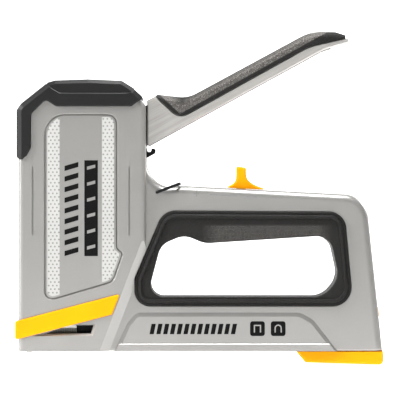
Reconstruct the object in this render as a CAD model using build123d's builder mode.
from build123d import *
from math import atan2, cos, radians, sin, tan
import os

# A hand staple gun (cable tacker).  Millimetres.  The origin is the middle of the nose guide's
# working face, in the plane of the driver blade.  +X runs back to the heel, +Z is up and Y is
# across the tool, with the left half on the -Y side.

# ---- Driving dimensions ----
nose_setback = 6.0        # blade plane behind the column's front face
column_depth = 69.6       # column, front face to rear face
column_width = 34.0
column_head = 143.0       # top of the column's metal, under the cap
frame_width = 28.0        # the slimmer hand frame behind the column
bar_length = 129.1        # column's rear face to the heel, along the underside
bar_top = 91.4            # top of the bar where it leaves the column
bar_slope = 3.0           # fall of the bar towards the rear, degrees
heel_lean = 6.1           # lean of the rear edge, degrees
nose_proud = 1.3          # nose guide below the housing's underside
wall = 2.4                # housing wall
column_round = 3.0        # edge rounding of the column
frame_round = 4.0         # edge rounding of the hand frame
bumper_wall = 2.5         # rubber over the column's head
head_bevel = 2.8          # slope along the head's outer edges, seen from the side
head_bevel_deep = 2.0     # and across
band_proud = 1.0          # nose band beyond the column's sides
liner_proud = 0.8         # grip liner's flange beyond the frame's sides
liner_roll = 2.4          # height of the liner's raised roll
liner_rim = 1.8           # flat rim outside the roll
liner_ridge = 2.2         # width of the roll
liner_dish = 1.0          # how far the lip inside the roll lies below it
liner_web = 2.6           # liner inside the hand hole
liner_seat = 1.4          # depth of the flange's seat in the frame
gap = 0.2                 # clearance round sliding pieces
fit = 0.05                # radial running clearance of pins

pivot_x = 47.9            # lever pivot
pivot_z = 98.6
pivot_d = 6.0
lever_travel = 30.0       # degrees, handle pressed down
arm_width = 8.0
arm_reach = 38.0          # pivot to lift roller
arm_droop = 14.0          # forward limb below level at rest, degrees
lever_width = 25.0
lever_wall = 2.5
lever_web = 2.2
grip_proud = 0.4          # black grip beyond the lever's sides

blade_thick = 1.2
blade_width = 10.6
plunger_width = 21.0
plunger_low = 80.0
plunger_high = 98.0
plunger_back = 20.0
roller_d = 8.0
lift_pin_d = 5.0
spring_od = 17.0
spring_wire = 2.4
spring_x = 10.3
spring_seat = 132.4       # underside of the spring cap

guide_wall = 1.4
guide_height = 54.0
channel_top = 17.3
channel_wall = 1.4
channel_low = 1.5
channel_front = 1.1
channel_half = 7.1
channel_short = 24.7      # the channel stops this far before the heel
staple_wire = 0.7
staple_pitch = 1.27
staple_count = 19
staple_low = 1.8          # tips of the legs
strip_start = 0.95        # front of the strip, against the guide
rail_half = 4.3
rail_top = 12.6
rail_low = 1.6
rail_wall = 1.0

bail_wire = 1.6
bail_length = 13.0
bail_rest = 21.0          # degrees above level
bail_hooked = 71.0        # swing from rest to the lever's hook

knob_x = 115.6            # stem of the power slider
knob_high = 12.4          # above the bar
power_travel = 21.0
stem_half = 2.6
stem_deep = 5.2
link_top = 82.4
link_half = 4.0
latch_z = 26.5
latch_pin_d = 2.5
latch_pin_half = 8.0
latch_half = 3.6
latch_roof = 26.2
button_low = 19.9
button_high = 24.9
button_proud = 0.7
groove_deep = 0.8
seam = 0.3                # shadow gap round the band and the grip liners
seam_deep = 0.5
groove_wide = 1.1
groove_bevel = 0.9        # slope on the panel's own edge
label_proud = 0.8         # raised panel along the underside
label_bevel = 2.2         # width of its sloping border
skirt_top = 5.4           # ledge under that panel
skirt_proud = 0.5
column_bevel = 5.0        # width of the slope from the column's face down to the hand frame
screw_bite = 9.0          # thread in the left half
screw_head_high = 2.4
screw_sunk = 0.4

# ---- Places that follow from them ----
column_front = -nose_setback
column_rear = column_front + column_depth
half_column = column_width / 2
half_frame = frame_width / 2
heel_x = column_rear + bar_length
bar_x = column_rear + 21.7                     # start of the bar's straight top
underside = nose_proud
channel_end = heel_x - channel_short
pivot = (pivot_x, pivot_z)


def bar_z(x):
    """Height of the bar's top at x."""
    return bar_top - tan(radians(bar_slope)) * (x - bar_x)


def heel_at(z):
    """X of the leaning rear edge at height z."""
    return heel_x - tan(radians(heel_lean)) * (z - underside)


def from_pivot(dx, dz):
    """A point given from the lever's pivot."""
    return (pivot_x + dx, pivot_z + dz)


def from_column(dx, z):
    """A point at height z, given from the column's rear face."""
    return (column_rear + dx, z)


def from_heel(dx, z):
    """A point at height z, given from the heel."""
    return (heel_x + dx, z)


def inset_corner(before, corner, after, distance):
    """Where the two lines through a corner meet once both are moved to their right."""
    a = atan2(corner[1] - before[1], corner[0] - before[0])
    b = atan2(after[1] - corner[1], after[0] - corner[0])
    half = (b - a) / 2
    along = a + half
    reach = distance / cos(half)
    return (corner[0] + sin(along) * reach, corner[1] - cos(along) * reach)


def slab(points, radius, width, plane=Plane.XZ):
    """A rounded side profile, extruded width / 2 to both sides of the plane."""
    with BuildPart() as made:
        with BuildSketch(plane):
            with BuildLine():
                FilletPolyline(*points, radius=radius, close=True)
            make_face()
        extrude(amount=width / 2, both=True)
    return made.part


# ================= HOUSING OUTLINES =================
heel_top = (heel_at(bar_z(heel_x - 9.1)), bar_z(heel_x - 9.1))
saddle_low = (column_rear + 10.9, bar_top - 0.3)
saddle_mid = (column_rear + 3.0, bar_top + 5.0)
saddle_high = (column_rear, bar_top + 15.2)
inside_x = column_rear - 33.0
head_rear = [(column_rear, column_head - 8.1), (column_rear - 3.1, column_head - 4.0),
             (column_rear - 9.6, column_head)]
head_front = (column_front + 1.7, column_head - 10.0)
cap_front = (column_front + 14.8, column_head)

# Hand hole and the liner's outer edge.
hole_points = [from_column(0.4, 31.0), from_column(7.9, 59.3), from_column(20.9, 64.6),
               from_column(31.9, 60.0),
               from_heel(-29.0, 64.4), from_heel(-23.9, 41.0), from_heel(-32.7, 31.0)]
hole_radii = [7.0, 11.0, 11.0, 14.0, 9.0, 12.0, 12.0]
liner_points = [from_column(-6.2, 25.7), from_column(-6.2, 41.0), from_column(9.5, 77.9),
                from_heel(-20.9, 77.3), from_heel(-16.1, 25.7)]
liner_radii = [8.5, 4.0, 10.0, 9.5, 10.5]

# Panel on the column and panel along the underside.
panel_high = column_head - 12.2
panel_points = [from_column(-15.4, panel_high), from_column(-15.4, 57.8), from_column(-12.0, 55.0),
                from_column(-17.6, 38.8), (column_front + 13.9, 27.6), (column_front + 13.9, panel_high)]
panel_radii = [5.5, 2.0, 3.0, 5.5, 5.0, 11.5]
label_points = [from_column(-17.1, underside), from_column(-10.5, 16.1), from_column(-5.5, 22.3),
                from_heel(-45.1, 22.3), from_heel(-37.8, 18.2), from_heel(-24.6, underside)]
label_radii = [0.0, 6.0, 5.0, 9.0, 7.0, 0.0]
bail_pivot = (column_rear + 6.0, bar_top - 3.5)
latch_x = heel_x - 9.7
screw_faces = [half_column, half_column, half_frame, half_frame, half_frame]

# Side profiles of the black head pieces.
bumper_points = [(column_front - 0.9, column_head - 36.0), (column_front + 1.6, column_head - 37.6),
                 (column_front + 4.6, column_head - 35.4), (column_front + 7.0, column_head - 31.0),
                 (column_front + 7.1, column_head - 12.5), (column_front + 15.0, column_head - 4.6),
                 (column_front + 20.6, column_head - 8.4), (column_rear - 8.0, column_head - 8.4),
                 (column_rear - 1.4, column_head - 3.6), (column_rear - 6.2, column_head + 0.8),
                 (column_rear - 10.2, column_head - 0.8), (column_front + 22.9, column_head - 0.8),
                 (column_front + 18.2, column_head + 1.9), (column_front + 15.4, column_head + 4.2),
                 (column_front + 1.6, column_head - 6.8), (column_front - 0.9, column_head - 10.4)]
bumper_radii = [1.5, 1.6, 1.5, 3.0, 4.0, 2.5, 3.0, 2.5, 1.2, 1.2, 1.2, 2.5, 1.5, 1.2, 2.0, 2.0]
cap_points = [(column_front + 20.0, column_head - 2.0), (column_rear - 9.5, column_head - 2.0),
              (column_rear - 6.0, column_head + 1.1), (column_rear - 13.2, column_head + 5.6),
              (column_front + 38.0, column_head + 6.4), (column_front + 20.0, column_head + 5.8),
              (column_front + 16.2, column_head + 4.7), (column_front + 15.0, column_head + 3.4)]
cap_radii = [0.0, 0.0, 0.6, 3.0, 20.0, 2.0, 0.6, 0.0]

# Nose band: a strap that falls towards the front, and the staple window under it.
band_high = [(column_front - 1.7, 17.6), (column_front + 55.5, 32.6)]
band_low = [(column_front + 51.1, 21.4), (column_front - 1.7, 7.6)]
window_points = [(9.0, 10.9), (33.6, 11.1), (34.9, 15.5), (21.6, 15.5)]

# ================= BLACK HEAD, BAND AND LINERS =================
with BuildPart() as head_core:                  # column metal inside the head pieces
    with BuildSketch(Plane.XZ):
        with BuildLine():
            Polyline((column_front + 1.7, 60), head_front, cap_front, head_rear[2], head_rear[1],
                     head_rear[0], (column_rear, 60), close=True)
        make_face()
    extrude(amount=half_column - 1.0, both=True)

with BuildPart() as head_envelope:              # bevelled block that the head pieces fill
    with BuildSketch(Plane.XZ):
        with BuildLine():
            Polyline((column_front - 0.9, column_head - 60), (column_front - 0.9, column_head - 9.6),
                     (column_front + 1.0, column_head - 7.0), (column_front + 15.8, column_head + 4.7),
                     (column_front + 20.0, column_head + 5.9), (column_front + 38.0, column_head + 6.5),
                     (column_rear - 13.0, column_head + 5.7), (column_rear - 5.6, column_head + 1.0),
                     (column_rear - 1.2, column_head - 3.6), (column_rear - 1.2, column_head - 60),
                     close=True)
        make_face()
    extrude(amount=half_column - 1 + bumper_wall, both=True)
    for end in (0, -1):
        side = head_envelope.faces().filter_by(Axis.Y).sort_by(Axis.Y)[end]
        chamfer(side.edges(), head_bevel, head_bevel_deep, reference=side)

with BuildPart() as bumper:
    add(slab(bumper_points, bumper_radii, column_width - 2 + 2 * bumper_wall))
    chamfer(bumper.faces().filter_by(Axis.Y).edges(), 0.7)
    add(head_envelope.part, mode=Mode.INTERSECT)
    add(head_core.part, mode=Mode.SUBTRACT)
bumper.part.label = "head_bumper"

with BuildPart() as cap:
    add(slab(cap_points, cap_radii, column_width - 3 + 2 * bumper_wall))
    chamfer(cap.faces().filter_by(Axis.Y).edges(), 0.45)
    add(head_envelope.part, mode=Mode.INTERSECT)
    add(head_core.part, mode=Mode.SUBTRACT)
    add(bumper.part, mode=Mode.SUBTRACT)
cap.part.label = "head_cap"

band_depth = 0.8                                # how far the band is let into the column
with BuildPart() as nose_band:
    add(slab(band_high + band_low, [1.2, 0.8, 0.8, 1.2], column_width + 2 * band_proud))
    chamfer(nose_band.faces().filter_by(Axis.Y).edges(), 0.6)
    with BuildSketch(Plane.XZ):
        with Locations((column_front + 50, 20)):
            Rectangle(100, 60)
    extrude(amount=half_column - band_depth, both=True, mode=Mode.SUBTRACT)
nose_band.part.label = "nose_band"

with BuildPart() as liner:                      # left half of the black ring in the hand hole
    with BuildSketch(Plane.XZ.offset(half_frame - liner_seat)):
        with BuildLine():
            FilletPolyline(*liner_points, radius=liner_radii, close=True)
        make_face()
    extrude(amount=liner_seat + liner_proud)
    chamfer(liner.faces().sort_by(Axis.Y)[0].edges(), 0.5)
    with BuildSketch(Plane.XZ.offset(half_frame + liner_proud)):
        with BuildLine():
            FilletPolyline(*liner_points, radius=liner_radii, close=True)
        make_face()
        offset(amount=-liner_rim)
    extrude(amount=liner_roll - liner_proud)
    fillet(liner.faces().sort_by(Axis.Y)[0].edges(), 1.2)
    with BuildSketch(Plane.XZ.offset(half_frame + liner_roll - liner_dish)):
        with BuildLine():
            FilletPolyline(*liner_points, radius=liner_radii, close=True)
        make_face()
        offset(amount=-(liner_rim + liner_ridge))
    extrude(amount=2, mode=Mode.SUBTRACT)
    with BuildSketch(Plane.XZ):
        with BuildLine():
            FilletPolyline(*hole_points, radius=hole_radii, close=True)
        make_face()
        offset(amount=liner_web)
    extrude(amount=half_frame - liner_seat)
    with BuildSketch(Plane.XZ):
        with BuildLine():
            FilletPolyline(*hole_points, radius=hole_radii, close=True)
        make_face()
    extrude(amount=half_frame + liner_roll, mode=Mode.SUBTRACT)
    lip = liner.faces().sort_by(lambda f: abs(f.center().Y + half_frame + liner_roll - liner_dish))[0]
    fillet(lip.inner_wires().edges(), 0.9)
    ridge = liner.faces().sort_by(Axis.Y)[0]
    chamfer(ridge.inner_wires().edges(), 0.5)

with BuildPart() as left_liner:
    add(liner.part)
left_liner.part.label = "left_grip_liner"
with BuildPart() as right_liner:
    add(liner.part.mirror(Plane.XZ))
right_liner.part.label = "right_grip_liner"

# ================= HOUSING HALVES =================
screw_places = [(30.0, 44.0), (28.5, 124.0), (heel_x - 52.0, bar_z(heel_x - 52.0) - 6.0),
                (heel_x - 11.0, 52.0), (heel_x - 80.0, 21.5)]
screw_d = 3.5
screw_head_d = 6.6
boss_d = 9.5
spring_bay = plunger_width / 2 + 0.3
column_bay = half_column - wall
back_wall = 3.6
bay_rear = column_rear - back_wall
ledge_top = 76.0                                # where the buffer sits
guide_bay_x = -blade_thick / 2 - 0.2 - guide_wall
pocket_side = 4.0
arm_bay = arm_width / 2 + 0.6
hub_face = arm_width / 2 + 0.5                  # inner face of the pivot bosses
slot_low = bar_top + 0.6
slot_high = column_head - 6.5

with BuildPart() as frame_slab:
    with BuildSketch(Plane.XZ):
        with BuildLine():
            FilletPolyline((inside_x, underside), (heel_x, underside), heel_top,
                           (bar_x, bar_top), radius=[0.0, 13.7])
            Line((bar_x, bar_top), saddle_low)
            ThreePointArc(saddle_low, saddle_mid, saddle_high)
            Line(saddle_high, (inside_x, saddle_high[1]))
            Line((inside_x, saddle_high[1]), (inside_x, underside))
        make_face()
    extrude(amount=half_frame)
    outer = frame_slab.faces().sort_by(Axis.Y)[0].edges()
    upper = [e for e in outer if e.center().X > column_rear - 3 and e.center().Z > underside + 1
             and not (e.geom_type == GeomType.LINE and e.center().Z > saddle_high[1] - 1)]
    fillet(upper, frame_round)
    fillet(frame_slab.faces().sort_by(Axis.Y)[0].edges().sort_by(Axis.Z)[0], 1.2)

slope_foot = Vector(column_rear - 20.0, 0, underside)
slope_head = Vector(column_rear, 0, 53.5)
slope_along = (slope_head - slope_foot).normalized()
slope_plane = Plane(origin=slope_head, x_dir=(-slope_along.Z, 0, slope_along.X), z_dir=slope_along)
slope_fall = (half_column - half_frame) / column_bevel   # fall of the slope for 1 mm across it
with BuildPart() as column_block:
    with BuildSketch(Plane.XZ):
        with BuildLine():
            Polyline((column_front, underside), (slope_foot.X, slope_foot.Z),
                     (slope_head.X, slope_head.Z), head_rear[0], head_rear[1], head_rear[2],
                     (column_front + 12.0, column_head), (column_front, column_head - 12.0),
                     close=True)
        make_face()
    extrude(amount=half_column)
    rim = [e for e in column_block.faces().sort_by(Axis.Y)[0].edges()
           if e.center().Z > underside + 1 and e.center().Z < column_head - 4.5
           and not (e.center().Z < 50 and e.center().X > 20)]
    fillet(rim, column_round)
    with BuildSketch(slope_plane):
        with BuildLine():
            Polyline((-1.0, half_frame - slope_fall), (column_bevel + 1.0, half_column + slope_fall),
                     (-1.0, half_column + slope_fall), close=True)
        make_face()
    extrude(amount=80, both=True, mode=Mode.SUBTRACT)

with BuildPart() as label_panel:                # sloping border, flat field and a ledge under it
    with BuildSketch(Plane.XZ.offset(half_frame - 1)):
        with BuildLine():
            FilletPolyline(*label_points, radius=label_radii, close=True)
        make_face()
    extrude(amount=1 + label_proud)
    border = [e for e in label_panel.faces().sort_by(Axis.Y)[0].edges()
              if e.center().Z > underside + 1]
    field = label_panel.faces().sort_by(Axis.Y)[0]
    chamfer(border, label_bevel, label_proud, reference=field)
    with BuildSketch(Plane.XZ.offset(half_frame - 1)):
        with BuildLine():
            Polyline(from_column(-16.6, underside), from_column(-14.9, skirt_top),
                     from_heel(-29.2, skirt_top), from_heel(-25.9, underside), close=True)
        make_face()
    extrude(amount=1 + label_proud + skirt_proud)
    ledge = label_panel.faces().sort_by(Axis.Y)[0].edges().sort_by(Axis.Z)[-1]
    chamfer(ledge, 0.8 * skirt_proud)

with BuildPart() as half_shell:
    add(frame_slab.part)
    add(column_block.part)
    add(label_panel.part)
    # The head's metal is set in under the rubber, and the band is let into the nose.
    with BuildSketch(Plane.XZ.offset(-1)):
        with BuildLine():
            Polyline((column_front - 5, column_head - 36.0), (column_front + 1.7, column_head - 36.0),
                     head_front, cap_front, (column_rear, column_head), (column_rear + 5, column_head + 9),
                     (column_front - 5, column_head + 9), close=True)
        make_face()
    extrude(amount=half_column + 2, mode=Mode.SUBTRACT)
    for head_piece in (bumper, cap, nose_band, left_liner):
        add(head_piece.part, mode=Mode.SUBTRACT)
    with BuildSketch(Plane.XZ):                 # hand hole, less the liner
        with BuildLine():
            FilletPolyline(*hole_points, radius=hole_radii, close=True)
        make_face()
        offset(amount=liner_web)
    extrude(amount=half_frame + 1, mode=Mode.SUBTRACT)

    # Striker and spring bay, then the lever's bay behind it.
    with BuildSketch(Plane.XZ):
        with BuildLine():
            Polyline((guide_bay_x, ledge_top - 26), (1.4, ledge_top - 26), (1.4, ledge_top),
                     (22.0, ledge_top), (22.0, spring_seat + 2.1), (guide_bay_x, spring_seat + 2.1),
                     close=True)
        make_face()
    extrude(amount=spring_bay, mode=Mode.SUBTRACT)
    with BuildSketch(Plane.XZ):
        with BuildLine():
            Polyline((21.0, plunger_low - 1.2), (bay_rear, plunger_low - 1.2), (bay_rear, column_head - 8),
                     (column_rear - 14.0, column_head - 4.0), (21.0, column_head - 4.0), close=True)
        make_face()
        with Locations(screw_places[1]):
            Circle(boss_d / 2, mode=Mode.SUBTRACT)
    extrude(amount=column_bay, mode=Mode.SUBTRACT)
    # Hollow below the mechanism.
    with BuildSketch(Plane.XZ):
        with BuildLine():
            FilletPolyline((7.0, 24.0), (column_rear - 21.0, 24.0), (column_rear - 12.0, 45.0),
                           (column_rear - 12.0, ledge_top - 3.5), (7.0, ledge_top - 3.5),
                           radius=2.0, close=True)
        make_face()
        with Locations(screw_places[0]):
            Circle(boss_d / 2, mode=Mode.SUBTRACT)
    extrude(amount=half_column - pocket_side, mode=Mode.SUBTRACT)
    # Bosses that carry the lever's pivot pin.
    with BuildSketch(Plane.XZ.offset(hub_face)):
        with Locations(pivot):
            Circle(pivot_d)
    extrude(amount=column_bay - hub_face)
    with BuildSketch(Plane.XZ):
        with Locations(pivot):
            Circle(pivot_d / 2)
    extrude(amount=half_column - 1.6, mode=Mode.SUBTRACT)
    # Slot in the rear wall and saddle for the lever's arm.
    with BuildSketch(Plane.XZ):
        with BuildLine():
            Polyline((bay_rear - 1, slot_low), (column_rear + 16, slot_low), (column_rear + 16, slot_high),
                     (bay_rear - 1, slot_high), close=True)
        make_face()
    extrude(amount=arm_bay, mode=Mode.SUBTRACT)

    # Nose and magazine bays, open underneath, and the way out through the heel.
    with BuildSketch(Plane.XZ):
        with BuildLine():
            Polyline((guide_bay_x, 0), (heel_x + 5, 0), (heel_x + 5, channel_top),
                     (1.0, channel_top), (1.0, ledge_top - 20), (guide_bay_x, ledge_top - 20), close=True)
        make_face()
    extrude(amount=channel_half, mode=Mode.SUBTRACT)

    # Latch bay above the magazine's end block, open at the heel for the button.
    with BuildSketch(Plane.XZ):
        with BuildLine():
            Polyline((channel_end + 0.5, channel_top - 1), (heel_x + 5, channel_top - 1),
                     (heel_x + 5, button_high + 0.3), (latch_x + 4.5, button_high + 0.3),
                     (latch_x + 4.5, latch_z + 4.0), (latch_x - 4.0, latch_z + 4.0),
                     (latch_x - 4.0, latch_roof), (channel_end + 0.5, latch_roof), close=True)
        make_face()
    extrude(amount=latch_half + 0.5, mode=Mode.SUBTRACT)
    with BuildSketch(Plane.XZ):
        with Locations((latch_x, latch_z)):
            Circle(latch_pin_d / 2)
    extrude(amount=latch_pin_half, mode=Mode.SUBTRACT)
    # Bar bay for the power link, and the slot its knob stands in.
    with BuildSketch(Plane.XZ):
        with BuildLine():
            Polyline((bay_rear - 1, plunger_low - 0.6), (knob_x + 9, plunger_low - 0.6),
                     (knob_x + 9, bar_z(knob_x + 9) - wall), (bar_x, bar_z(bar_x) - wall),
                     (bay_rear - 1, bar_z(bar_x) - wall), close=True)
        make_face()
    extrude(amount=link_half + 1.5, mode=Mode.SUBTRACT)
    with BuildSketch(Plane.XZ):
        with Locations((knob_x - power_travel / 2, bar_top - 4)):
            Rectangle(power_travel + stem_deep + 1.0, 12)
    extrude(amount=stem_half + 0.4, mode=Mode.SUBTRACT)
    # Bores the bail's ends turn in.
    with BuildSketch(Plane.XZ.offset(half_frame - 2.2)):
        with Locations(bail_pivot):
            Circle(bail_wire / 2 + fit)
    extrude(amount=5, mode=Mode.SUBTRACT)
    # Staple window, with a bevelled surround.
    with BuildSketch(Plane.XZ.offset(half_column)):
        with BuildLine():
            Polyline(*window_points, close=True)
        make_face()
        offset(amount=1.3, kind=Kind.INTERSECTION)
    with BuildSketch(Plane.XZ.offset(half_column - 1.3)):
        with BuildLine():
            Polyline(*window_points, close=True)
        make_face()
    loft(mode=Mode.SUBTRACT)
    with BuildSketch(Plane.XZ):
        with BuildLine():
            Polyline(*window_points, close=True)
        make_face()
    extrude(amount=half_column, mode=Mode.SUBTRACT)

    # Shadow gaps, the panel's groove and bevel, and two short grooves.
    with BuildSketch(Plane.XZ.offset(half_column - seam_deep)):
        with BuildLine():
            FilletPolyline(*band_high, *band_low, radius=1.0, close=True)
        make_face()
        offset(amount=seam)
    extrude(amount=2, mode=Mode.SUBTRACT)
    with BuildSketch(Plane.XZ.offset(half_frame - seam_deep)):
        with BuildLine():
            FilletPolyline(*liner_points, radius=liner_radii, close=True)
        make_face()
        offset(amount=seam)
    extrude(amount=half_column + 1 - half_frame, mode=Mode.SUBTRACT)
    with BuildSketch(Plane.XZ.offset(half_column - groove_deep)):
        with BuildLine():
            FilletPolyline(*panel_points, radius=panel_radii, close=True)
        make_face()
        offset(amount=-groove_wide, mode=Mode.SUBTRACT)
    extrude(amount=2, mode=Mode.SUBTRACT)
    panel_middle = Vector(column_front + 34.0, -half_column, (panel_high + 27.6) / 2)
    island = half_shell.faces().sort_by(lambda f: (f.center() - panel_middle).length)[0]
    chamfer(island.outer_wire().edges(), groove_bevel, groove_deep - 0.1, reference=island)
    with BuildSketch(Plane.XZ.offset(half_column - groove_deep)):
        with Locations((column_front + 7.9, 83.2), (column_rear - 9.1, 83.2)):
            SlotOverall(37.4, 0.9, rotation=90)
    extrude(amount=2, mode=Mode.SUBTRACT)
with BuildPart() as left_housing:
    add(half_shell.part)
    for x, z in screw_places:
        with BuildSketch(Plane.XZ):
            with Locations((x, z)):
                Circle(screw_d / 2)
        extrude(amount=screw_bite, mode=Mode.SUBTRACT)
left_housing.part.label = "left_housing"

with BuildPart() as right_housing:
    add(half_shell.part.mirror(Plane.XZ))
    for (x, z), face in zip(screw_places, screw_faces):
        with BuildSketch(Plane.XZ):
            with Locations((x, z)):
                Circle(screw_d / 2)
        extrude(amount=-half_column, mode=Mode.SUBTRACT)
        with BuildSketch(Plane.XZ.offset(-(face - screw_sunk - screw_head_high))):
            with Locations((x, z)):
                Circle(screw_head_d / 2 + 0.2)
        extrude(amount=-20, mode=Mode.SUBTRACT)
right_housing.part.label = "right_housing"

with BuildPart() as screws:
    for (x, z), face in zip(screw_places, screw_faces):
        seat = face - screw_sunk - screw_head_high
        with BuildSketch(Plane.XZ.offset(screw_bite)):
            with Locations((x, z)):
                Circle(screw_d / 2)
        extrude(amount=-(screw_bite + seat))
        with BuildSketch(Plane.XZ.offset(-seat)):
            with Locations((x, z)):
                Circle(screw_head_d / 2)
        extrude(amount=-screw_head_high)
        with BuildSketch(Plane.XZ.offset(-(seat + screw_head_high - 1.2))):
            with Locations((x, z)):
                RegularPolygon(1.5, 6)
        extrude(amount=-2, mode=Mode.SUBTRACT)
screws.part.label = "housing_screws"

# ================= NOSE, CHANNEL AND STAPLES =================
guide_rear = 0.9                                # the strip's crowns butt against it
with BuildPart() as driver_guide:
    with BuildSketch(Plane.XY):
        with Locations(((guide_bay_x + guide_rear) / 2, 0)):
            Rectangle(guide_rear - guide_bay_x, 2 * channel_half)
        with Locations((guide_bay_x + guide_wall + 5, 0)):
            Rectangle(10, blade_width + 2 * gap, mode=Mode.SUBTRACT)
    extrude(amount=guide_height)
    chamfer(driver_guide.edges().filter_by(Axis.Y).group_by(Axis.Z)[0].sort_by(Axis.X)[0], 0.5)
driver_guide.part.label = "driver_guide"

staple_half = blade_width / 2
crown_top = rail_top + gap + staple_wire
strip_end = strip_start + staple_count * staple_pitch

# The channel's own window: as high as the crowns along the strip, full height at the pusher.
sight_high = crown_top + 0.2
sight_points = [window_points[0], window_points[1], window_points[2], (strip_end, window_points[2][1]),
                (strip_end, sight_high), (window_points[0][0] + 6.6, sight_high)]
with BuildPart() as channel:
    with BuildSketch(Plane.YZ.offset(channel_front)):
        with Locations((0, (channel_top + channel_low) / 2)):
            Rectangle(2 * channel_half, channel_top - channel_low)
        with Locations((0, (channel_top + channel_low) / 2 - channel_wall)):
            Rectangle(2 * (channel_half - channel_wall), channel_top - channel_low, mode=Mode.SUBTRACT)
    extrude(amount=channel_end - channel_front)
    with BuildSketch(Plane.XZ):
        with BuildLine():
            Polyline(*sight_points, close=True)
        make_face()
    extrude(amount=2 * channel_half, both=True, mode=Mode.SUBTRACT)
channel.part.label = "magazine_channel"

with BuildPart() as staples:
    for index in range(staple_count):
        with BuildSketch(Plane.YZ.offset(strip_start + index * staple_pitch)):
            with Locations((0, (crown_top + staple_low) / 2)):
                Rectangle(2 * staple_half, crown_top - staple_low)
            with Locations((0, (crown_top + staple_low) / 2 - staple_wire)):
                Rectangle(2 * (staple_half - staple_wire), crown_top - staple_low, mode=Mode.SUBTRACT)
        extrude(amount=staple_pitch - 0.05)
staples.part.label = "staple_strip"

# ================= STRIKER =================
lift_x = pivot_x - arm_reach * cos(radians(arm_droop))
lift_z = pivot_z - arm_reach * sin(radians(arm_droop))
cheek_in = arm_width / 2 + 0.5                  # inner faces of the plunger's two cheeks
blade_rivet_d = 3.0
blade_rivet_at = [(0, plunger_low + 5), (0, plunger_high - 6)]
with BuildPart() as plunger:
    with BuildSketch(Plane.XY.offset(plunger_low)):
        with Locations(((blade_thick / 2 + plunger_back) / 2, 0)):
            Rectangle(plunger_back - blade_thick / 2, plunger_width)
        with Locations((4 + 20, 0)):
            Rectangle(40, 2 * cheek_in, mode=Mode.SUBTRACT)
    extrude(amount=plunger_high - plunger_low)
    with BuildSketch(Plane.XZ):
        with Locations((lift_x - 0.2, lift_z)):
            SlotOverall(roller_d + 2 * gap + 3.4, roller_d + 2 * gap)
    extrude(amount=plunger_width / 2 - 1.5, both=True, mode=Mode.SUBTRACT)
    with BuildSketch(Plane.YZ):
        with Locations(*blade_rivet_at):
            Circle(blade_rivet_d / 2)
    extrude(amount=6, mode=Mode.SUBTRACT)
plunger.part.label = "plunger"

with BuildPart() as blade:
    with BuildSketch(Plane.YZ.offset(-blade_thick / 2)):
        with Locations((0, (0.6 + plunger_high - 2) / 2)):
            Rectangle(blade_width, plunger_high - 2 - 0.6)
        with Locations(*blade_rivet_at):
            Circle(blade_rivet_d / 2, mode=Mode.SUBTRACT)
    extrude(amount=blade_thick)
blade.part.label = "driver_blade"

with BuildPart() as blade_rivets:
    with BuildSketch(Plane.YZ.offset(-blade_thick / 2)):
        with Locations(*blade_rivet_at):
            Circle(blade_rivet_d / 2)
    extrude(amount=4 + blade_thick / 2 - 0.2)
blade_rivets.part.label = "blade_rivets"

with BuildPart() as buffer:
    with BuildSketch(Plane.XY.offset(ledge_top)):
        with Locations(((1.6 + plunger_back) / 2, 0)):
            RectangleRounded(plunger_back - 1.6, plunger_width, 1.5)
    extrude(amount=plunger_low - 0.15 - ledge_top)
buffer.part.label = "striker_buffer"

rod_d = 7.5                                     # guide rod inside the main spring
with BuildPart() as spring_cap:
    with BuildSketch(Plane.XY.offset(spring_seat)):
        with Locations((spring_x, 0)):
            Circle(spring_od / 2 + 0.6)
    extrude(amount=2.1)
    with BuildSketch(Plane.XY.offset(spring_seat)):
        with Locations((spring_x, 0)):
            Circle(rod_d / 2)
    extrude(amount=1.2, mode=Mode.SUBTRACT)
spring_cap.part.label = "spring_cap"

with BuildPart() as spring_rod:
    with BuildSketch(Plane.XY.offset(spring_seat + 1.2)):
        with Locations((spring_x, 0)):
            Circle(rod_d / 2)
    extrude(amount=-(spring_seat + 1.2 - (plunger_high + 21.5)))
    chamfer(spring_rod.edges().sort_by(Axis.Z)[0], 1.0)
spring_rod.part.label = "spring_guide_rod"


def coil(origin, axis, length, outside, wire, turns):
    """A coil spring of a given outer diameter along an axis."""
    start = Plane(origin=origin, z_dir=axis)
    rise = length - wire
    with BuildPart() as made:
        with BuildLine() as path:
            Helix(rise / turns, rise, (outside - wire) / 2,
                  center=start.origin + start.z_dir * (wire / 2), direction=axis)
        with BuildSketch(Plane(origin=path.line @ 0, z_dir=path.line % 0)):
            Circle(wire / 2)
        sweep(is_frenet=True)
    return made.part


with BuildPart() as main_spring:
    add(coil((spring_x, 0, plunger_high + 0.05), (0, 0, 1), spring_seat - plunger_high - 0.1,
             spring_od, spring_wire, 5.5))
main_spring.part.label = "main_spring"

# ================= LEVER =================
with BuildPart() as pivot_pin:
    with BuildSketch(Plane.XZ):
        with Locations(pivot):
            Circle(pivot_d / 2)
    extrude(amount=half_column - 1.6, both=True)
pivot_pin.part.label = "lever_pivot_pin"

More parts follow.
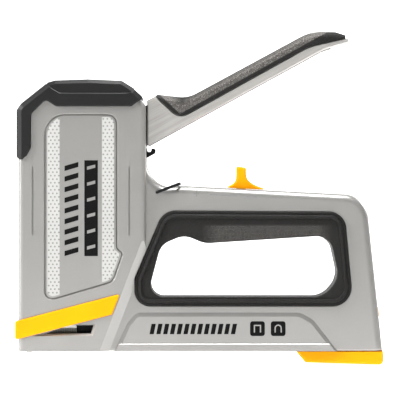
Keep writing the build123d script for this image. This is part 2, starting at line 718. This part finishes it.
root_low = from_pivot(16.2, 14.2)
root_top = from_pivot(16.2, 39.4)
seat_front = from_pivot(20.9, 41.8)
seat_dip = from_pivot(33.9, 29.8)
seat_bend = from_pivot(104.6, 69.0)
seat_tip = from_pivot(125.9, 73.9)
belly_bend = from_pivot(113.0, 67.3)
belly_tip = from_pivot(126.4, 71.0)
lever_points = [root_low, belly_bend, belly_tip, seat_tip, seat_bend, seat_dip, seat_front, root_top]
lever_radii = [1.0, 20.0, 1.3, 1.3, 25.0, 7.0, 0.0, 1.0]
well_dip = inset_corner(seat_front, seat_dip, seat_bend, lever_web)
well_bend = inset_corner(seat_dip, seat_bend, seat_tip, lever_web)
well_top = root_top[1] - lever_web
run = (well_dip[1] - well_top) / (seat_dip[1] - seat_front[1])
well_front = (well_dip[0] - run * (seat_dip[0] - seat_front[0]), well_top)
well_end = (seat_tip[0] - 9.0, well_bend[1] + (seat_tip[0] - 9.0 - well_bend[0]) * 0.255)

rise = atan2(seat_bend[1] - seat_dip[1], seat_bend[0] - seat_dip[0])
lever_along = (cos(rise), sin(rise))
lever_up = (-sin(rise), cos(rise))
front_rise = atan2(seat_dip[1] - seat_front[1], seat_dip[0] - seat_front[0])
rivet_a = ((seat_front[0] + seat_dip[0]) / 2, (seat_front[1] + seat_dip[1]) / 2)
rivet_b = (seat_dip[0] + 9.0 * lever_along[0], seat_dip[1] + 9.0 * lever_along[1])
arm_rivet_d = 4.0
rivets = [(rivet_a, (-sin(front_rise), cos(front_rise))), (rivet_b, lever_up)]


def rivet_planes():
    """Planes on the lever's seat, square to each arm rivet."""
    return [Plane(origin=(x, 0, z), x_dir=(0, 1, 0), z_dir=(nx, 0, nz)) for (x, z), (nx, nz) in rivets]


with BuildPart() as lever:
    add(slab(lever_points, lever_radii, lever_width))
    chamfer(lever.faces().filter_by(Axis.Y).edges().filter_by(
        lambda e: e.center().Z < belly_tip[1] + 1 and e.center().X > root_low[0] - 1
        and e.center().Z < e.center().X * 0.55 + 78.5), 0.7)
    with BuildSketch(Plane.XZ):
        with BuildLine():
            Polyline((root_low[0] - 5, root_low[1] - 20), (well_end[0], well_end[1] - 30), well_end,
                     well_bend, well_dip, well_front, (root_low[0] - 5, well_top), close=True)
        make_face()
    extrude(amount=lever_width / 2 - lever_wall, both=True, mode=Mode.SUBTRACT)
    for plane in rivet_planes():
        with BuildSketch(plane):
            Circle(arm_rivet_d / 2)
        extrude(amount=5, both=True, mode=Mode.SUBTRACT)
lever.part.label = "lever"

tip_fall = (seat_tip[1] - seat_bend[1]) / (seat_tip[0] - seat_bend[0])
grip_tip = (seat_tip[0] - 1.6, seat_tip[1] - 1.6 * tip_fall)
grip_points = [seat_front, from_pivot(21.9, 42.7), from_pivot(38.5, 40.9), from_pivot(105.7, 77.3),
               from_pivot(118.9, 76.9), from_pivot(124.6, 74.9), grip_tip, seat_bend, seat_dip]
grip_radii = [0.0, 0.0, 16.0, 25.0, 0.0, 0.0, 0.0, 25.0, 7.0]
with BuildPart() as grip:
    add(slab(grip_points, grip_radii, lever_width + 2 * grip_proud))
    sides = grip.faces().filter_by(Axis.Y).edges()
    crest = [e for e in sides if e.center().X > from_pivot(24, 0)[0] and e.center().X < from_pivot(119, 0)[0]
             and e.center().Z > pivot_z + max(38.0, 36.0 + (e.center().X - pivot_x - 38.5) * 0.54)]
    fillet(crest, 3.6)
    for plane in rivet_planes():
        with BuildSketch(plane):
            Circle(3.8)
        extrude(amount=2.2, mode=Mode.SUBTRACT)
grip.part.label = "lever_grip"

arm_tip = (well_dip[0] + 18 * lever_along[0], well_dip[1] + 18 * lever_along[1])
belly = atan2(belly_bend[1] - root_low[1], belly_bend[0] - root_low[0])
belly_clear = 2.2
arm_low_tip = (arm_tip[0], root_low[1] + tan(belly) * (arm_tip[0] - root_low[0]) + belly_clear)
arm_low_root = (root_low[0] + 1.0, root_low[1] + tan(belly) + belly_clear)

# The hook's notch takes the bail's crossbar when the lever is down.
closed = radians(lever_travel)
hooked = radians(bail_rest + bail_hooked)
cross = (bail_pivot[0] + bail_length * cos(hooked) - pivot_x,
         bail_pivot[1] + bail_length * sin(hooked) - pivot_z)
notch = from_pivot(cross[0] * cos(closed) - cross[1] * sin(closed),
                   cross[0] * sin(closed) + cross[1] * cos(closed))
notch_r = bail_wire / 2 + 0.4
with BuildPart() as arm:
    with BuildSketch(Plane.XZ):
        with BuildLine():
            Polyline(from_pivot(-8.0, 4.0), from_pivot(12.6, 35.2), from_pivot(16.0, well_top - pivot_z),
                     well_front, well_dip, arm_tip, arm_low_tip, arm_low_root,
                     (notch[0] - notch_r - 0.4, notch[1] + 1.6), (notch[0] - notch_r - 0.4, notch[1]),
                     (notch[0], notch[1] - notch_r - 0.6), from_pivot(8.0, -4.0), close=True)
        make_face()
        with BuildLine():
            FilletPolyline((notch[0] - notch_r - 0.6, notch[1] + 0.7), (notch[0] + 3.5, notch[1] + 0.7),
                           (notch[0] + 3.3, notch[1] - 1.8), (notch[0] - 1.4, notch[1] - 4.4),
                           (notch[0] - 6.0, notch[1] - 9.0), radius=[1.0, 1.0, 0.6, 0.6, 0.6], close=True)
        make_face()
        with Locations(notch):
            Circle(notch_r, mode=Mode.SUBTRACT)
        with Locations((notch[0], notch[1] + 1.2)):
            Rectangle(2 * notch_r, 2.4, mode=Mode.SUBTRACT)
        with Locations(pivot):
            Circle(9.0)
        with Locations((pivot_x, pivot_z)):
            with Locations(Location((0, 0), arm_droop)):
                with Locations((-arm_reach / 2, 0)):
                    SlotOverall(arm_reach + 11.0, 11.0)
        with Locations(pivot):
            Circle(pivot_d / 2 + fit, mode=Mode.SUBTRACT)
        with Locations((lift_x, lift_z)):
            Circle(lift_pin_d / 2, mode=Mode.SUBTRACT)
    extrude(amount=arm_width / 2, both=True)
    for plane in rivet_planes():
        with BuildSketch(plane):
            Circle(arm_rivet_d / 2)
        extrude(amount=-4.6, mode=Mode.SUBTRACT)
arm.part.label = "lever_arm"

with BuildPart() as arm_rivets:
    for plane in rivet_planes():
        with BuildSketch(plane):
            Circle(arm_rivet_d / 2)
        extrude(amount=-4.4)
        with BuildSketch(plane):
            Circle(3.6)
        extrude(amount=1.8)
arm_rivets.part.label = "arm_rivets"

pin_half = plunger_width / 2 - 2.0
with BuildPart() as lift_pin:
    with BuildSketch(Plane.XZ):
        with Locations((lift_x, lift_z)):
            Circle(lift_pin_d / 2)
    extrude(amount=pin_half, both=True)
lift_pin.part.label = "lift_pin"

with BuildPart() as rollers:
    for side in (1, -1):
        with BuildSketch(Plane.XZ.offset(side * (arm_width / 2 + 0.6))):
            with Locations((lift_x, lift_z)):
                Circle(roller_d / 2)
                Circle(lift_pin_d / 2, mode=Mode.SUBTRACT)
        extrude(amount=side * (pin_half - arm_width / 2 - 0.7))
rollers.part.label = "lift_rollers"

# ================= BAIL =================
bail_out = half_frame + bail_wire / 2 + 0.4
bail_dir = Vector(cos(radians(bail_rest)), 0, sin(radians(bail_rest)))
bail_eye = Vector(bail_pivot[0], 0, bail_pivot[1])
across = Vector(0, 1, 0)
with BuildPart() as bail:
    with BuildLine() as wire:
        FilletPolyline(bail_eye - across * (half_frame - 1.9), bail_eye - across * bail_out,
                       bail_eye + bail_dir * bail_length - across * bail_out,
                       bail_eye + bail_dir * bail_length + across * bail_out,
                       bail_eye + across * bail_out, bail_eye + across * (half_frame - 1.9),
                       radius=[1.0, 2.5, 2.5, 1.0])
    with BuildSketch(Plane(origin=wire.line @ 0, z_dir=wire.line % 0)):
        Circle(bail_wire / 2)
    sweep()
bail.part.label = "lock_bail"

# ================= POWER SLIDER =================
knob_foot = bar_z(knob_x)
with BuildPart() as knob:
    with BuildSketch(Plane.XZ):
        with BuildLine():
            Line((knob_x - 7.2, bar_z(knob_x - 7.2) + gap), (knob_x + 12.1, bar_z(knob_x + 12.1) + gap))
            Line((knob_x + 12.1, bar_z(knob_x + 12.1) + gap), (knob_x + 12.1, bar_z(knob_x + 12.1) + 1.0))
            Spline((knob_x + 12.1, bar_z(knob_x + 12.1) + 1.0), (knob_x + 5.0, knob_foot + 3.6),
                   (knob_x + 2.6, knob_foot + 8.6), tangents=[(-1, 0.3), (0, 1)])
            FilletPolyline((knob_x + 2.6, knob_foot + 8.6), (knob_x + 2.6, knob_foot + knob_high - 0.8),
                           (knob_x - 2.6, knob_foot + knob_high), (knob_x - 2.6, knob_foot + 7.4), radius=0.9)
            Spline((knob_x - 2.6, knob_foot + 7.4), (knob_x - 4.2, knob_foot + 3.0),
                   (knob_x - 7.2, bar_z(knob_x - 7.2) + 1.0), tangents=[(0, -1), (-1, -0.5)])
            Line((knob_x - 7.2, bar_z(knob_x - 7.2) + 1.0), (knob_x - 7.2, bar_z(knob_x - 7.2) + gap))
        make_face()
    extrude(amount=6.5, both=True)
    chamfer(knob.faces().filter_by(Axis.Y).edges().filter_by(
        lambda e: e.center().Z > knob_foot + 2), 0.8)
    with BuildSketch(Plane.XZ):
        with Locations((knob_x, (knob_foot + link_top) / 2 + 1)):
            Rectangle(stem_deep, knob_foot - link_top + 2)
    extrude(amount=stem_half, both=True)
    with BuildSketch(Plane.XY.offset(link_top)):
        with Locations((knob_x - 10, 0)):
            Rectangle(60, 30)
    extrude(amount=-20, mode=Mode.SUBTRACT)
knob.part.label = "power_slider"

with BuildPart() as link:
    with BuildSketch(Plane.XY.offset(link_top - 2.0)):
        with Locations(((bay_rear - 16 + knob_x + 6) / 2, 0)):
            RectangleRounded(knob_x + 6 - bay_rear + 16, 2 * link_half, 2.0)
        with Locations((bay_rear - 12, 0)):
            Circle(1.6, mode=Mode.SUBTRACT)
    extrude(amount=2.0)
link.part.label = "power_link"

# ================= MAGAZINE =================
block_half = channel_half - gap
block_front = channel_end + 2.5
rail_pin_d = 3.0
rail_pin_at = (block_front + 6, 7.0)
foot_half = frame_width / 2 - 0.6
foot_top = underside - 0.3
with BuildPart() as foot:
    with BuildSketch(Plane.XZ):
        with BuildLine():
            FilletPolyline((heel_x - 47.2, foot_top), (heel_x - 42.3, foot_top - 5.9),
                           (heel_x + 0.3, foot_top - 7.2), (heel_x + 0.3, foot_top),
                           radius=[1.2, 2.2], )
            Line((heel_x + 0.3, foot_top), (heel_x - 47.2, foot_top))
        make_face()
    extrude(amount=foot_half, both=True)
    chamfer(foot.faces().filter_by(Axis.Y).edges().filter_by(
        lambda e: e.center().Z < foot_top - 0.5), 1.0)
    with BuildSketch(Plane.XZ):
        with BuildLine():
            Polyline((block_front, foot_top - 1), (heel_x + 0.3, foot_top - 1), (heel_x + 0.3, foot_top),
                     (heel_at(channel_top - 0.4), channel_top - 0.4), (block_front, channel_top - 0.4),
                     close=True)
        make_face()
    extrude(amount=block_half, both=True)
    with BuildSketch(Plane.YZ):                       # socket for the rail
        with Locations((0, (rail_low + rail_top) / 2)):
            Rectangle(2 * rail_half, rail_top - rail_low)
    extrude(amount=block_front + 11, mode=Mode.SUBTRACT)
    with BuildSketch(Plane.XZ):
        with Locations(rail_pin_at):
            Circle(rail_pin_d / 2)
    extrude(amount=20, both=True, mode=Mode.SUBTRACT)
foot.part.label = "magazine_foot"

with BuildPart() as rail:
    with BuildSketch(Plane.YZ.offset(1.3)):
        with Locations((0, (rail_low + rail_top) / 2)):
            Rectangle(2 * rail_half, rail_top - rail_low)
        with Locations((0, (rail_low + rail_top) / 2 - rail_wall)):
            Rectangle(2 * (rail_half - rail_wall), rail_top - rail_low, mode=Mode.SUBTRACT)
    extrude(amount=block_front + 10.5 - 1.3)
    with BuildSketch(Plane.XY.offset(rail_top - 3)):
        with Locations(((20 + channel_end - 10) / 2, 0)):
            SlotOverall(channel_end - 10 - 20, 2.6)
    extrude(amount=6, mode=Mode.SUBTRACT)
    with BuildSketch(Plane.XZ):
        with Locations(rail_pin_at):
            Circle(rail_pin_d / 2)
    extrude(amount=20, both=True, mode=Mode.SUBTRACT)
rail.part.label = "staple_rail"

with BuildPart() as rail_pin:
    with BuildSketch(Plane.XZ):
        with Locations(rail_pin_at):
            Circle(rail_pin_d / 2)
    extrude(amount=block_half, both=True)
rail_pin.part.label = "rail_pin"

pusher_front = strip_end + 0.3
pusher_long = 12.0
pusher_low = 2.2
pusher_top = rail_top + 2.4
pusher_rear = pusher_front + pusher_long
feed_spring_z = 6.6       # middle of the rail's hollow
feed_spring_turns = 22
with BuildPart() as pusher:
    with BuildSketch(Plane.YZ.offset(pusher_front)):
        with Locations((0, (pusher_low + pusher_top) / 2)):
            Rectangle(2 * (channel_half - channel_wall - 0.3), pusher_top - pusher_low)
        with Locations((0, (pusher_low + rail_top + gap) / 2 - 0.5)):
            Rectangle(2 * (rail_half + gap), rail_top + gap - pusher_low + 1.0, mode=Mode.SUBTRACT)
        with Locations((0, rail_top + gap - 4.5)):
            Rectangle(1.8, 9.2)
    extrude(amount=pusher_long)
pusher.part.label = "pusher"

with BuildPart() as pusher_spring:
    add(coil((pusher_rear + 0.1, 0, feed_spring_z), (1, 0, 0), channel_end - 8 - pusher_rear,
             2 * (rail_half - rail_wall) - 0.8, 0.7, feed_spring_turns))
pusher_spring.part.label = "pusher_spring"

# ================= LATCH =================
with BuildPart() as latch_pin:
    with BuildSketch(Plane.XZ):
        with Locations((latch_x, latch_z)):
            Circle(latch_pin_d / 2)
    extrude(amount=latch_pin_half, both=True)
latch_pin.part.label = "latch_pin"

with BuildPart() as latch:
    with BuildSketch(Plane.XZ):
        with BuildLine():
            Polyline((latch_x - 2.6, latch_z), (latch_x - 5.4, latch_z - 4.2),
                     (latch_x - 10.5, latch_z - 4.2), (latch_x - 10.5, channel_top + 0.5),
                     (latch_x - 8.2, channel_top + 0.5), (latch_x - 6.5, button_low + 0.4),
                     (heel_at(button_low) + button_proud, button_low),
                     (heel_at(button_high) + button_proud, button_high),
                     (latch_x + 2.8, button_high), (latch_x + 2.8, latch_z), close=True)
        make_face()
        with Locations((latch_x, latch_z)):
            Circle(2.9)
            Circle(latch_pin_d / 2 + fit, mode=Mode.SUBTRACT)
    extrude(amount=latch_half, both=True)
latch.part.label = "latch_button"

with BuildPart() as latch_spring:
    add(coil((latch_x - 8.2, 0, latch_z - 4.15), (0, 0, 1), latch_roof - latch_z + 4.1, 3.6, 0.5, 4))
latch_spring.part.label = "latch_spring"

# ================= FILES =================
os.makedirs("parts", exist_ok=True)
pieces = [left_housing, right_housing, screws, bumper, cap, nose_band, left_liner, right_liner,
          driver_guide, channel, staples, plunger, blade, blade_rivets, buffer, spring_cap, spring_rod,
          main_spring, pivot_pin, lever, grip, arm, arm_rivets, lift_pin, rollers, bail, knob, link,
          foot, rail, rail_pin, pusher, pusher_spring, latch_pin, latch, latch_spring]
for piece in pieces:
    export_step(piece.part, f"parts/{piece.part.label}.step")
